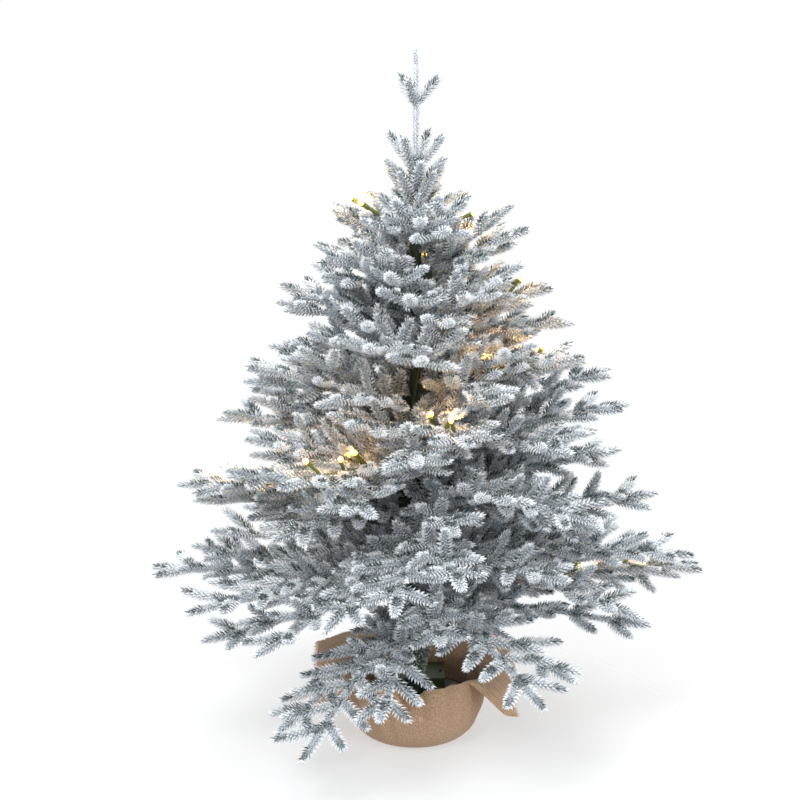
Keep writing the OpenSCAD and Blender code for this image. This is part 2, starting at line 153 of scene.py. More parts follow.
def colourPatch():
    # two tones mixed by soft noise on the piece's own coordinates
    group, given, result = newGroup(
        "colourPatch",
        [("Tone A", "NodeSocketColor", (0.5, 0.5, 0.5, 1)), ("Tone B", "NodeSocketColor", (0.4, 0.4, 0.4, 1)),
         ("Scale", "NodeSocketFloat", 40.0), ("Rough low", "NodeSocketFloat", 0.4),
         ("Rough high", "NodeSocketFloat", 0.6)],
        [("Color", "NodeSocketColor"), ("Roughness", "NodeSocketFloat"), ("Height", "NodeSocketFloat")])
    make, link = group.nodes.new, group.links.new
    where = make("ShaderNodeTexCoord")
    noise = make("ShaderNodeTexNoise")
    noise.inputs["Detail"].default_value = 6
    link(where.outputs["Object"], noise.inputs["Vector"])
    link(given.outputs["Scale"], noise.inputs["Scale"])
    mix = make("ShaderNodeMix")
    mix.data_type = "RGBA"
    link(noise.outputs["Fac"], mix.inputs["Factor"])
    link(given.outputs["Tone A"], mix.inputs["A"])
    link(given.outputs["Tone B"], mix.inputs["B"])
    rough = make("ShaderNodeMapRange")
    link(noise.outputs["Fac"], rough.inputs["Value"])
    link(given.outputs["Rough low"], rough.inputs["To Min"])
    link(given.outputs["Rough high"], rough.inputs["To Max"])
    link(mix.outputs["Result"], result.inputs["Color"])
    link(rough.outputs["Result"], result.inputs["Roughness"])
    link(noise.outputs["Fac"], result.inputs["Height"])
    return group


patchGroup = colourPatch()


def newMaterial(name):
    material = bpy.data.materials.new(name)
    material.use_nodes = True
    tree = material.node_tree
    return material, tree, tree.nodes["Principled BSDF"]


def bumpFrom(tree, shader, height, distance, strength=0.5):
    bump = tree.nodes.new("ShaderNodeBump")
    bump.inputs["Distance"].default_value = distance
    bump.inputs["Strength"].default_value = strength
    tree.links.new(height, bump.inputs["Height"])
    tree.links.new(bump.outputs["Normal"], shader.inputs["Normal"])


def patchMaterial(name, toneA, toneB, scale, rough, metallic=0.0, bump=0.0001):
    material, tree, shader = newMaterial(name)
    patch = tree.nodes.new("ShaderNodeGroup")
    patch.node_tree = patchGroup
    patch.inputs["Tone A"].default_value = (*toneA, 1)
    patch.inputs["Tone B"].default_value = (*toneB, 1)
    patch.inputs["Scale"].default_value = scale
    patch.inputs["Rough low"].default_value = rough[0]
    patch.inputs["Rough high"].default_value = rough[1]
    tree.links.new(patch.outputs["Color"], shader.inputs["Base Color"])
    tree.links.new(patch.outputs["Roughness"], shader.inputs["Roughness"])
    shader.inputs["Metallic"].default_value = metallic
    bumpFrom(tree, shader, patch.outputs["Height"], bump)
    return material


def flockedMaterial(name, bare, shade, flock):
    # needles: bare plastic at the root, blue-grey under thin flock, white at the point
    material, tree, shader = newMaterial(name)
    make, link = tree.nodes.new, tree.links.new
    where = make("ShaderNodeUVMap")
    where.uv_map = "flock"
    parts = make("ShaderNodeSeparateXYZ")
    link(where.outputs["UV"], parts.inputs["Vector"])
    place = make("ShaderNodeTexCoord")
    noise = make("ShaderNodeTexNoise")
    noise.inputs["Scale"].default_value = 220
    noise.inputs["Detail"].default_value = 3
    link(place.outputs["Object"], noise.inputs["Vector"])
    jitter = make("ShaderNodeMath")
    jitter.operation = "MULTIPLY_ADD"
    jitter.inputs[1].default_value = 0.5
    jitter.inputs[2].default_value = -0.25
    link(noise.outputs["Fac"], jitter.inputs[0])
    along = make("ShaderNodeMath")
    along.operation = "ADD"
    link(parts.outputs["Y"], along.inputs[0])
    link(jitter.outputs["Value"], along.inputs[1])
    cover = make("ShaderNodeMath")
    cover.operation = "MULTIPLY"
    link(along.outputs["Value"], cover.inputs[0])
    link(parts.outputs["X"], cover.inputs[1])
    ramp = make("ShaderNodeValToRGB")
    stops = ramp.color_ramp.elements
    stops[0].position, stops[0].color = 0.04, (*bare, 1)
    stops[1].position, stops[1].color = 0.62, (*flock, 1)
    middle = stops.new(0.2)
    middle.color = (*shade, 1)
    link(cover.outputs["Value"], ramp.inputs["Fac"])
    link(ramp.outputs["Color"], shader.inputs["Base Color"])
    shader.inputs["Roughness"].default_value = 0.8
    shader.inputs["Sheen Weight"].default_value = 0.15
    bumpFrom(tree, shader, noise.outputs["Fac"], 0.0004, 0.6)
    return material


burlap = dict(yarnScale=250, slub=420, dark=(0.47, 0.285, 0.16), light=(0.88, 0.60, 0.39))


def burlapMaterial():
    # plain weave: yarns across and along, each with its own shade and thickness
    material, tree, shader = newMaterial("burlapWeave")
    make, link = tree.nodes.new, tree.links.new
    where = make("ShaderNodeUVMap")
    where.uv_map = "weave"
    waves = []
    for direction in ("X", "Y"):
        wave = make("ShaderNodeTexWave")
        wave.wave_type = "BANDS"
        wave.bands_direction = direction
        wave.inputs["Scale"].default_value = burlap["yarnScale"]
        wave.inputs["Distortion"].default_value = 1.6
        wave.inputs["Detail"].default_value = 2
        link(where.outputs["UV"], wave.inputs["Vector"])
        waves.append(wave)
    weave = make("ShaderNodeMath")
    weave.operation = "MAXIMUM"
    link(waves[0].outputs["Fac"], weave.inputs[0])
    link(waves[1].outputs["Fac"], weave.inputs[1])
    slub = make("ShaderNodeTexNoise")
    slub.inputs["Scale"].default_value = burlap["slub"]
    slub.inputs["Detail"].default_value = 5
    link(where.outputs["UV"], slub.inputs["Vector"])
    tone = make("ShaderNodeValToRGB")
    stops = tone.color_ramp.elements
    stops[0].position, stops[0].color = 0.3, (*burlap["dark"], 1)
    stops[1].position, stops[1].color = 0.72, (*burlap["light"], 1)
    link(slub.outputs["Fac"], tone.inputs["Fac"])
    gaps = make("ShaderNodeMix")
    gaps.data_type = "RGBA"
    gaps.blend_type = "MULTIPLY"
    gaps.inputs["Factor"].default_value = 0.3
    link(tone.outputs["Color"], gaps.inputs["A"])
    link(weave.outputs["Value"], gaps.inputs["B"])
    link(gaps.outputs["Result"], shader.inputs["Base Color"])
    shader.inputs["Roughness"].default_value = 0.9
    shader.inputs["Sheen Weight"].default_value = 0.1
    bumpFrom(tree, shader, weave.outputs["Value"], 0.0006, 0.7)
    return material


needleWhite = flockedMaterial("flockedNeedles", (0.018, 0.04, 0.022), (0.36, 0.405, 0.44),
                              (0.93, 0.955, 0.975))
wrapGreen = flockedMaterial("flockedWrap", (0.03, 0.06, 0.03), (0.24, 0.29, 0.24), (0.66, 0.70, 0.66))
burlapCloth = burlapMaterial()
olivePlastic = patchMaterial("oliveLead", (0.10, 0.13, 0.015), (0.17, 0.20, 0.03), 90, (0.35, 0.5))
greenPaint = patchMaterial("greenPowderCoat", (0.012, 0.03, 0.014), (0.02, 0.045, 0.02), 120, (0.4, 0.6))
pinSteel = patchMaterial("plainSteel", (0.55, 0.55, 0.53), (0.42, 0.42, 0.41), 200, (0.25, 0.4), 1.0)
cement = patchMaterial("castCement", (0.42, 0.40, 0.37), (0.27, 0.26, 0.245), 60, (0.8, 0.95), 0, 0.0008)
tubPlastic = patchMaterial("tubPlastic", (0.03, 0.03, 0.03), (0.05, 0.05, 0.048), 70, (0.4, 0.6))
boxPlastic = patchMaterial("boxPlastic", (0.035, 0.055, 0.02), (0.05, 0.075, 0.03), 240, (0.4, 0.55))
blackPlastic = patchMaterial("sliderPlastic", (0.012, 0.012, 0.012), (0.025, 0.025, 0.025), 240, (0.35, 0.5))
cellJacket = patchMaterial("cellJacket", (0.42, 0.27, 0.05), (0.34, 0.21, 0.04), 30, (0.25, 0.35), 0.6)
boardMask = patchMaterial("boardMask", (0.01, 0.11, 0.035), (0.02, 0.15, 0.05), 150, (0.3, 0.4))


def lensMaterial():
    material, tree, shader = newMaterial("litLens")
    shader.inputs["Base Color"].default_value = (1.0, 0.86, 0.55, 1)
    shader.inputs["Roughness"].default_value = 0.2
    shader.inputs["Emission Color"].default_value = (1.0, 0.5, 0.1, 1)
    path = tree.nodes.new("ShaderNodeLightPath")
    strength = tree.nodes.new("ShaderNodeMapRange")
    strength.inputs["To Min"].default_value = 120.0
    strength.inputs["To Max"].default_value = 4.5
    tree.links.new(path.outputs["Is Camera Ray"], strength.inputs["Value"])
    tree.links.new(strength.outputs["Result"], shader.inputs["Emission Strength"])
    return material


litLens = lensMaterial()
print("stage: materials made")


needle = dict(length=9.6 * mm, width=2.3 * mm, flat=0.5, shoulder=0.55)


def makeNeedle():
    # a slim three-sided blade, widest before its middle
    deselectAll()
    bpy.ops.mesh.primitive_cone_add(vertices=3, radius1=needle["width"] / 2, radius2=0,
                                    depth=needle["length"] * (1 - needle["shoulder"]), end_fill_type="TRIFAN",
                                    location=(0, 0, needle["length"] * (1 + needle["shoulder"]) / 2))
    obj = settle(bpy.context.active_object)
    low = min(vertex.co.z for vertex in obj.data.vertices)
    middle = [v.index for v in obj.data.vertices
              if v.co.z < low + 1e-6 and math.hypot(v.co.x, v.co.y) < 1e-5]
    bpy.ops.object.mode_set(mode="EDIT")
    bpy.ops.mesh.select_all(action="DESELECT")
    bpy.ops.object.mode_set(mode="OBJECT")
    for index in middle:
        obj.data.vertices[index].select = True
    bpy.ops.object.mode_set(mode="EDIT")
    bpy.ops.transform.translate(value=(0, 0, -low))
    bpy.ops.mesh.select_all(action="SELECT")
    bpy.ops.transform.resize(value=(1, needle["flat"], 1), center_override=(0, 0, 0))
    bpy.ops.mesh.normals_make_consistent(inside=False)
    bpy.ops.object.mode_set(mode="OBJECT")
    layer = onlyMap(obj, "flock")
    for loop, item in zip(obj.data.loops, layer.data):
        item.uv = (1.0, obj.data.vertices[loop.vertex_index].co.z / needle["length"])
    return obj


def makeSprig(name, length, step, ended, longest=1.0, flockLow=0.0):
    # needles wind round a thin core, long at the sides and short above and below
    draw = random.Random(name)
    deselectAll()
    bpy.ops.mesh.primitive_cone_add(vertices=5, radius1=2.0 * mm, radius2=(1.6 if ended else 2.0) * mm,
                                    depth=length, end_fill_type="NGON", location=(0, 0, length / 2))
    core = bpy.context.active_object
    setPaint(core, 0.9, 0.32)
    parts = [core]
    count = int(length / step)
    for k in range(count):
        share = k / max(1, count - 1)
        roll = math.radians(goldenTurn * k)
        side = abs(math.cos(roll))
        fade = 1 - 0.22 * share ** 6 if ended else 1
        if ended:
            fade *= min(1, 0.72 + 2.2 * share)
        size = longest * fade * (0.74 + 0.26 * side) * draw.uniform(0.9, 1.08)
        lean = math.radians((56 if ended else 42) - (34 * share ** 5 if ended else 0) + draw.uniform(-5, 5))
        out = Vector((math.cos(roll), math.sin(roll), 0))
        way = out * math.sin(lean) + Vector((0, 0, math.cos(lean)))
        at = Vector((0, 0, length * (0.02 + 0.96 * share))) + out * 0.7 * mm
        place = Matrix.Translation(at) @ facing(way, (0, 0, 1)) @ Matrix.Diagonal((1, 1, size, 1))
        part = copyOf(needleModel, place)
        # needles underneath get less flock and show blue-grey: painted shade under each tip
        above = math.sin(roll)
        flock = 1.0 + draw.uniform(-0.2, 0.1)
        if abs(math.sin(3.1 * share * length / (40 * mm) + length * 90)) > 0.72 and above > 0.3:
            flock = draw.uniform(0.05, 0.35)
        elif above < -0.5:
            flock = draw.uniform(0.45, 0.8)
        setPaint(part, max(flockLow, flock))
        parts.append(part)
    if ended:
        for k in range(5):
            roll = math.radians(72 * k)
            way = Vector((math.cos(roll) * 0.3, math.sin(roll) * 0.3, 1))
            place = Matrix.Translation((0, 0, length - 1.5 * mm)) @ facing(way, (0, 1, 0))
            part = copyOf(needleModel, place @ Matrix.Diagonal((1, 1, 0.62, 1)))
            setPaint(part, 1.0)
            parts.append(part)
    return joined(parts, name)


needleModel = makeNeedle()
sprigRule = dict(lengths=(32, 40, 48, 58, 70), step=0.36 * mm)
sleeveRule = dict(length=30 * mm, step=0.5 * mm, needles=0.8, pitch=28 * mm)
sprigs = {length: makeSprig(f"sprig{length}", length * mm, sprigRule["step"], True)
          for length in sprigRule["lengths"]}
sleeve = makeSprig("sleeve", sleeveRule["length"], sleeveRule["step"], False, sleeveRule["needles"])
print("stage: sprigs made,", {k: len(v.data.polygons) for k, v in sprigs.items()})


def placedSprig(length, place):
    # the nearest sprig, stretched a little to the length that is wanted
    nearest = min(sprigs, key=lambda k: abs(k * mm - length))
    return copyOf(sprigs[nearest], place @ Matrix.Diagonal((1, 1, length / (nearest * mm), 1)))


lightRule = dict(shares=(0.34, 0.53, 0.71), stand=4 * mm, tilt=42, side=0.35, lift=2.9 * mm, start=9 * mm,
                 holderR=2.6 * mm, holderLen=20 * mm, lensR=2.7 * mm, lensOut=2.2 * mm, strandR=0.55 * mm,
                 twist=7 * mm)
branchRule = dict(count=30, firstTurn=245, lowZ=146 * mm, highZ=548 * mm, crowding=1.15,
                  lowReach=325 * mm, highReach=90 * mm, wobble=0.07, lowSlope=-3, highSlope=24,
                  droop=17, short=0.22, bend=0.42, endShare=0.25, pitch=36 * mm, outer=50 * mm,
                  inner=78 * mm, angle=48, lift=6, firstBack=50 * mm, lastQ=26 * mm, wedge=0.6,
                  pinTurn=12.5 * mm)


def slopeAlong(degrees):
    return Vector((math.cos(math.radians(degrees)), 0, math.sin(math.radians(degrees))))


class BranchPath:
    # the bent wire of one branch, in the frame of its hinge: x outwards, z up
    def __init__(self, i):
        rule = branchRule
        turn = math.radians(rule["firstTurn"] + goldenTurn * i)
        rank = i / (rule["count"] - 1)
        height = rule["lowZ"] + (rule["highZ"] - rule["lowZ"]) * rank ** rule["crowding"]
        front = (1 - rank) ** 2 * max(0, -math.sin(turn))
        self.i = i
        self.front = front
        self.reach = ((rule["lowReach"] + (rule["highReach"] - rule["lowReach"]) * rank)
                      * (1 - rule["wobble"] * spread(i, 1)) * (1 - rule["short"] * front))
        middle = (rule["lowSlope"] + (rule["highSlope"] - rule["lowSlope"]) * rank
                  + 2.5 * spread(i, 2) - rule["droop"] * front)
        self.slopes = (middle + 4, middle, middle - 3)
        self.ends = (0, self.reach * rule["bend"], self.reach * (1 - rule["endShare"]), self.reach)
        self.height = height
        self.bulbs = [self.reach * x + 8 * mm for x in lightRule["shares"]] if i % 3 == 1 and i < 26 else []
        self.hinge = Matrix.Rotation(turn, 4, "Z") @ Matrix.Translation((rule["pinTurn"], 0, height))

    def slope(self, q):
        return self.slopes[0 if q <= self.ends[1] else 1 if q <= self.ends[2] else 2]

    def point(self, q):
        at = Vector((0, 0, 0))
        for k in range(3):
            run = min(q, self.ends[k + 1]) - self.ends[k]
            if run > 0:
                at += slopeAlong(self.slopes[k]) * run
        return at

    def above(self, q):
        a = math.radians(self.slope(q))
        return Vector((-math.sin(a), 0, math.cos(a)))


def sprigAt(path, frameOf, q, angle, lift, length):
    # angle is to the side of the stem and lift above it, in degrees
    a, b = math.radians(angle), math.radians(lift)
    above = path.above(q)
    way = ((slopeAlong(path.slope(q)) * math.cos(a) + Vector((0, math.sin(a), 0))) * math.cos(b)
           + above * math.sin(b))
    return placedSprig(length, frameOf @ Matrix.Translation(path.point(q)) @ facing(way, above))


def stemSleeves(path, frameOf, start, end):
    # short lengths of needled stem, one after another
    parts, full = [], sleeveRule["length"]
    q = start
    while q < end - 4 * mm:
        run = min(full, end - q)
        place = (frameOf @ Matrix.Translation(path.point(q))
                 @ facing(slopeAlong(path.slope(q + run / 2)), path.above(q)))
        parts.append(copyOf(sleeve, place @ Matrix.Diagonal((1, 1, run / full, 1))))
        q += sleeveRule["pitch"]
    return parts


bushRule = dict(below=0.4, thinFrom=0.35, fuller=0.17, turns=(-19, 18, -41, 43), rises=(11, -9, -4, 8),
                reach=(0.74, 0.98), clear=17 * mm, collar=((-62, 48), (4, 62), (58, 40), (-25, 30)),
                forkAngle=46, pitch=37 * mm, forkTip=42 * mm, start=12 * mm)


def branchSprigs(path):
    rule, draw = branchRule, random.Random(100 + path.i)
    place = (path.hinge @ Matrix.Translation(path.point(path.ends[2]))
             @ facing(slopeAlong(path.slopes[2]), path.above(path.reach)))
    parts = [placedSprig(path.reach * rule["endShare"], place)]
    pairs = int((path.reach - rule["firstBack"] - rule["lastQ"]) // rule["pitch"]) + 1
    for k in range(pairs):
        for side in (-1, 1):
            q = path.reach - rule["firstBack"] - rule["pitch"] * k - (6 if side > 0 else -2) * mm
            angle = rule["angle"] + 5 * spread(path.i + k, 3)
            lift = rule["lift"] + 6 * spread(3 * path.i + k, side + 5)
            full = rule["outer"] + (rule["inner"] - rule["outer"]) * min(1, k / 4)
            room = (rule["pinTurn"] + q) * rule["wedge"] / math.sin(math.radians(angle)) + 8 * mm
            parts.append(sprigAt(path, path.hinge, q, side * angle, lift, min(full, room)))
            if k > (2 if path.front > bushRule["thinFrom"] else 0):
                # shorter tips above and below fill the branch out
                q = max(16 * mm, q + draw.uniform(-16, 8) * mm)
                if not any(abs(q - x) < bushRule["clear"] for x in path.bulbs):
                    parts.append(sprigAt(path, path.hinge, q, side * draw.uniform(5, 35),
                                         draw.uniform(30, 58), draw.uniform(34, 50) * mm))
                if draw.random() < bushRule["below"]:
                    parts.append(sprigAt(path, path.hinge, q, side * draw.uniform(10, 40),
                                         -draw.uniform(20, 40), draw.uniform(32, 44) * mm))
    for angle, lift in bushRule["collar"]:
        # tips beside the hinge hide the pole
        parts.append(sprigAt(path, path.hinge, 9 * mm, angle + draw.uniform(-8, 8),
                             lift + draw.uniform(-8, 8), draw.uniform(32, 46) * mm))
    return parts + stemSleeves(path, path.hinge, 14 * mm, path.ends[2] + 4 * mm)


def companionSprays(path):
    # lesser stems leave the hinge beside the main one, each ending in a fork of three tips
    rule, draw = bushRule, random.Random(500 + path.i)
    parts, stems = [], []
    # the low front is thinner, so that the sack shows
    number = 2 if path.front > rule["thinFrom"] else 4
    for turn, rise in list(zip(rule["turns"], rule["rises"]))[:number]:
        turn += draw.uniform(-4, 4)
        rise = (rise if path.i % 2 else -rise) + draw.uniform(-4, 4)
        # higher up they reach out past the main stem, and round the tree's outline
        reach = (path.reach * draw.uniform(*rule["reach"]) * (1 - 0.004 * abs(turn))
                 * (1 + rule["fuller"] * smoothStep(path.i / 9)))
        frameOf = path.hinge @ Matrix.Rotation(math.radians(turn), 4, "Z") @ Matrix.Rotation(
            -math.radians(rise), 4, "Y")
        tip = min(rule["forkTip"], reach * 0.4)
        fork = reach - tip
        parts.append(sprigAt(path, frameOf, fork, draw.uniform(-6, 6), draw.uniform(-4, 8), tip))
        q, k = fork, 0
        while q > 22 * mm:
            for side in (-1, 1):
                length = min(tip * draw.uniform(0.8, 1.1) + 4 * mm * k, 62 * mm, q * 0.8 + 16 * mm)
                parts.append(sprigAt(path, frameOf, q - draw.uniform(0, 5) * mm,
                                     side * (rule["forkAngle"] + draw.uniform(-8, 8)),
                                     draw.uniform(-12, 22), length))
            if k > 0 and draw.random() < 0.7:
                parts.append(sprigAt(path, frameOf, q, draw.uniform(-20, 20), draw.uniform(36, 60),
                                     draw.uniform(34, 46) * mm))
            q -= rule["pitch"] * draw.uniform(0.9, 1.15)
            k += 1
        parts += stemSleeves(path, frameOf, rule["start"], fork)
        stems.append((frameOf, path.point(2.4 * mm), path.point(fork * 0.42), path.point(fork)))
    return parts, stems


def stemRod(frameOf, a, b, radius):
    deselectAll()
    bpy.ops.mesh.primitive_cylinder_add(vertices=7, radius=radius, depth=(b - a).length)
    rod = bpy.context.active_object
    rod.matrix_world = frameOf @ Matrix.Translation((a + b) / 2) @ facing(b - a, (0, 1, 0))
    setPaint(rod, 0.4, 0.3)
    return rod


def makeBranch(i):
    path = BranchPath(i)
    parts = branchSprigs(path)
    more, stems = companionSprays(path)
    parts += more
    # the wires and the eye they share
    parts.append(stemRod(path.hinge, path.point(3.4 * mm), path.point(path.ends[1]), 1.7 * mm))
    parts.append(stemRod(path.hinge, path.point(path.ends[1]), path.point(path.ends[2]), 1.7 * mm))
    for frameOf, a, b, c in stems:
        parts.append(stemRod(frameOf, a, b, 1.2 * mm))
        parts.append(stemRod(frameOf, b, c, 1.1 * mm))
    bpy.ops.mesh.primitive_torus_add(major_segments=20, minor_segments=8, major_radius=2.1 * mm,
                                     minor_radius=1.15 * mm)
    eye = bpy.context.active_object
    eye.matrix_world = path.hinge @ Matrix.Rotation(math.radians(90), 4, "X")
    setPaint(eye, 0.1, 0.1)
    parts.append(eye)
    branch = joined(parts, f"branch{i + 1:02d}Foliage")
    coat(branch, needleWhite)
    node = f"branch_{i + 1:02d}"
    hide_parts(node)
    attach(branch, node)
    return path


paths = [makeBranch(i) for i in range(branchRule["count"])]
print("stage: branches made")


leaderRule = dict(whorls=((167, 5, 20, 48, 54), (128, 4, 65, 46, 50), (60, 3, 10, 34, 48),
                          (178, 6, 0, 56, 30), (186, 5, 35, 56, 12), (150, 4, 10, 44, 48)), shoot=164 * mm)


def makeLeader():
    low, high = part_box("leader")
    top = high.z
    parts = []
    for below, count, first, length, slope in leaderRule["whorls"]:
        for k in range(count):
            turn = math.radians(first + 360 * k / count)
            a = math.radians(slope)
            way = Vector((math.cos(turn) * math.cos(a), math.sin(turn) * math.cos(a), math.sin(a)))
            place = Matrix.Translation((0, 0, top - below * mm)) @ facing(way, (0, 0, 1))
            parts.append(placedSprig(length * mm, place))
    shoot = makeSprig("shoot", leaderRule["shoot"] - 6 * mm, 0.4 * mm, True, 0.72, 0.95)
    shoot.matrix_world = Matrix.Translation((0, 0, top - leaderRule["shoot"]))
    parts.append(shoot)
    deselectAll()
    bpy.ops.mesh.primitive_cylinder_add(vertices=10, radius=1.6 * mm, depth=top - 20 * mm - low.z,
                                        location=(0, 0, (top - 20 * mm + low.z) / 2))
    wire = bpy.context.active_object
    setPaint(wire, 1.0, 0.8)
    parts.append(wire)
    leader = joined(parts, "leaderFoliage")
    coat(leader, needleWhite)
    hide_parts("leader")
    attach(leader, "root")


innerRule = dict(low=196 * mm, high=556 * mm, pitch=11 * mm, length=(30, 42), slope=(15, 55))


def makeInnerTips():
    # short tips close to the pole, which hide it
    rule, draw = innerRule, random.Random(11)
    parts = []
    count = int((rule["high"] - rule["low"]) / rule["pitch"])
    for k in range(count):
        turn = math.radians(goldenTurn * k + 20)
        a = math.radians(draw.uniform(*rule["slope"]))
        out = Vector((math.cos(turn), math.sin(turn), 0))
        way = out * math.cos(a) + Vector((0, 0, math.sin(a)))
        place = Matrix.Translation(out * 5.6 * mm + Vector((0, 0, rule["low"] + rule["pitch"] * k)))
        parts.append(placedSprig(draw.uniform(*rule["length"]) * mm, place @ facing(way, (0, 0, 1))))
    inner = joined(parts, "innerTips")
    coat(inner, needleWhite)
    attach(inner, "root")


makeLeader()
makeInnerTips()
print("stage: leader made")


wrapRule = dict(rows=30, around=24, size=1.25)


def makeWrap():
    low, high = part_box("trunk_wrap")
    draw = random.Random(7)
    lowR, highR = 11 * mm, high.x
    deselectAll()
    bpy.ops.mesh.primitive_cone_add(vertices=24, radius1=lowR - 2 * mm, radius2=highR - 4 * mm,
                                    depth=high.z - low.z, location=(0, 0, (low.z + high.z) / 2))
    parts = [bpy.context.active_object]
    setPaint(parts[0], 0.3, 0.3)
    for row in range(wrapRule["rows"]):
        share = row / (wrapRule["rows"] - 1)
        for k in range(wrapRule["around"]):
            turn = 2 * math.pi * (k + 0.5 * (row % 2) + draw.uniform(-0.3, 0.3)) / wrapRule["around"]
            radius = lowR + (highR - lowR) * share - 3 * mm
            out = Vector((math.cos(turn), math.sin(turn), 0))
            way = out + Vector((0, 0, draw.uniform(-0.9, 0.5)))
            at = out * radius + Vector((0, 0, low.z + (high.z - low.z) * share))
            place = Matrix.Translation(at) @ facing(way, (0.1, 0.2, 1))
            size = wrapRule["size"] * (0.2 + 0.55 * share)    # shorter low down, clear of the battery box
            part = copyOf(needleModel, place @ Matrix.Diagonal((1, 1, size, 1)))
            setPaint(part, draw.uniform(0.25, 1.0))
            parts.append(part)
    wrap = joined(parts, "trunkWrapFringe")
    coat(wrap, wrapGreen)
    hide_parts("trunk_wrap")
    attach(wrap, "root")


makeWrap()
print("stage: wrap made")


def makeHolder():
    # a tapered barrel with ribs and a collar, closed at both ends
    deselectAll()
    r, length = lightRule["holderR"], lightRule["holderLen"]
    bpy.ops.mesh.primitive_circle_add(vertices=14, radius=0.62 * r, fill_type="NGON")
    obj = bpy.context.active_object
    bpy.ops.object.mode_set(mode="EDIT")
    steps = ((0.12, 1.25), (0.1, 1.0), (0.03, 0.86), (0.1, 1.0), (0.03, 1.16), (0.1, 1.0), (0.03, 0.86),
             (0.1, 1.0), (0.03, 1.16), (0.2, 1.08), (0.02, 1.12), (0.12, 1.0), (0.02, 0.85))
    for rise, scale in steps:
        bpy.ops.mesh.extrude_region_move(TRANSFORM_OT_translate={"value": (0, 0, rise * length)})
        bpy.ops.transform.resize(value=(scale, scale, 1))
    bpy.ops.mesh.select_all(action="SELECT")
    bpy.ops.mesh.normals_make_consistent(inside=False)
    bpy.ops.object.mode_set(mode="OBJECT")
    return obj


def makeLens():
    deselectAll()
    bpy.ops.mesh.primitive_uv_sphere_add(segments=14, ring_count=10, radius=lightRule["lensR"])
    obj = bpy.context.active_object
    obj.scale = (1, 1, 1.25)
    settle(obj)
    bpy.ops.object.shade_smooth()
    return obj


holderModel, lensModel = makeHolder(), makeLens()


def strandCurve(points, name):
    # two thin strands twisted round each other along the points
    parts = []
    lengths = [0.0]
    for a, b in zip(points, points[1:]):
        lengths.append(lengths[-1] + (b - a).length)
    count = max(4, int(lengths[-1] / (1.6 * mm)))
    for strand in (0, 1):
        curve = bpy.data.curves.new(name, "CURVE")
        curve.dimensions = "3D"
        curve.bevel_depth = lightRule["strandR"]
        curve.bevel_resolution = 1
        curve.use_fill_caps = True
        spline = curve.splines.new("POLY")
        spline.points.add(count)
        for n in range(count + 1):
            s = lengths[-1] * n / count
            k = max(j for j in range(len(points) - 1) if lengths[j] <= s + 1e-9)
            way = points[k + 1] - points[k]
            at = points[k] + way * ((s - lengths[k]) / max(1e-9, way.length))
            turn = 2 * math.pi * s / lightRule["twist"] + math.pi * strand
            basis = facing(way, (0.03, 0.02, 1) if abs(way.normalized().z) < 0.95 else (1, 0, 0)).to_3x3()
            at = at + basis @ Vector((math.cos(turn), math.sin(turn), 0)) * lightRule["strandR"] * 0.95
            spline.points[n].co = (*at, 1)
        obj = bpy.data.objects.new(name, curve)
        bpy.context.collection.objects.link(obj)
        pick(obj)
        bpy.ops.object.convert(target="MESH")
        parts.append(bpy.context.active_object)
    return parts


def finishLights(leads, lenses, tag, body):
    lead = joined(leads, f"{tag}Leads")
    coat(lead, olivePlastic)
    lens = joined(lenses, f"{tag}Lenses")
    coat(lens, litLens)
    for piece, slot in ((lead, "olive_plastic"), (lens, "led_lens")):
        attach(piece, body)
    return lead, lens


def makeBranchLights(path):
    rule = lightRule
    run = path.reach * rule["shares"][2] + 3 * mm - rule["start"]
    qs = [rule["start"] + run * n / 12 for n in range(13)]
    points = [path.hinge @ (path.point(q) + path.above(q) * rule["lift"]) for q in qs]
    leads, lenses = strandCurve(points, "branchStrand"), []
    for k, share in enumerate(rule["shares"]):
        q = path.reach * share
        a = math.radians(rule["tilt"])
        above = path.above(q)
        way = (slopeAlong(path.slope(q)) * math.cos(a) + above * math.sin(a)
               + Vector((0, (-1 if k % 2 == 0 else 1) * rule["side"], 0)))
        place = path.hinge @ Matrix.Translation(path.point(q) + above * rule["stand"]) @ facing(way, above)
        leads.append(copyOf(holderModel, place))
        outAt = Matrix.Translation((0, 0, rule["holderLen"] + rule["lensOut"]))
        lenses.append(copyOf(lensModel, place @ outAt))
    lead, _ = finishLights(leads, lenses, f"lights{path.i + 1:02d}", f"branch_{path.i + 1:02d}")
    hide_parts(f"lights_{path.i + 1:02d}")


for path in paths:
    if path.bulbs:
        makeBranchLights(path)


def polar(turn, radius, z):
    a = math.radians(turn)
    return Vector((radius * math.cos(a), radius * math.sin(a), z)) * mm


topBulbs = ((176, 70, 594), (192, 60, 592), (-8, 64, 580), (10, 50, 574))


def makeTopLights():
    leads, lenses = [], []
    for turn, radius, z in topBulbs:
        root, tip = polar(turn, 8.5, 557), polar(turn, radius, z)
        way = (tip - root).normalized()
        base = tip - way * (lightRule["holderLen"] + 5.3 * mm)
        sag = Vector((0, 0, -3 * mm))
        points = [root, root.lerp(base, 0.33) + sag, root.lerp(base, 0.66) + sag, base + way * 1 * mm]
        leads += strandCurve(points, "topStrand")
        place = Matrix.Translation(base) @ facing(way, (0, 0, 1))
        leads.append(copyOf(holderModel, place))
        outAt = Matrix.Translation((0, 0, lightRule["holderLen"] + lightRule["lensOut"]))
        lenses.append(copyOf(lensModel, place @ outAt))
    lead, lens = finishLights(leads, lenses, "topLights", "root")
    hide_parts("leader_bulb_holders")
    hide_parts("leader_leds")


makeTopLights()


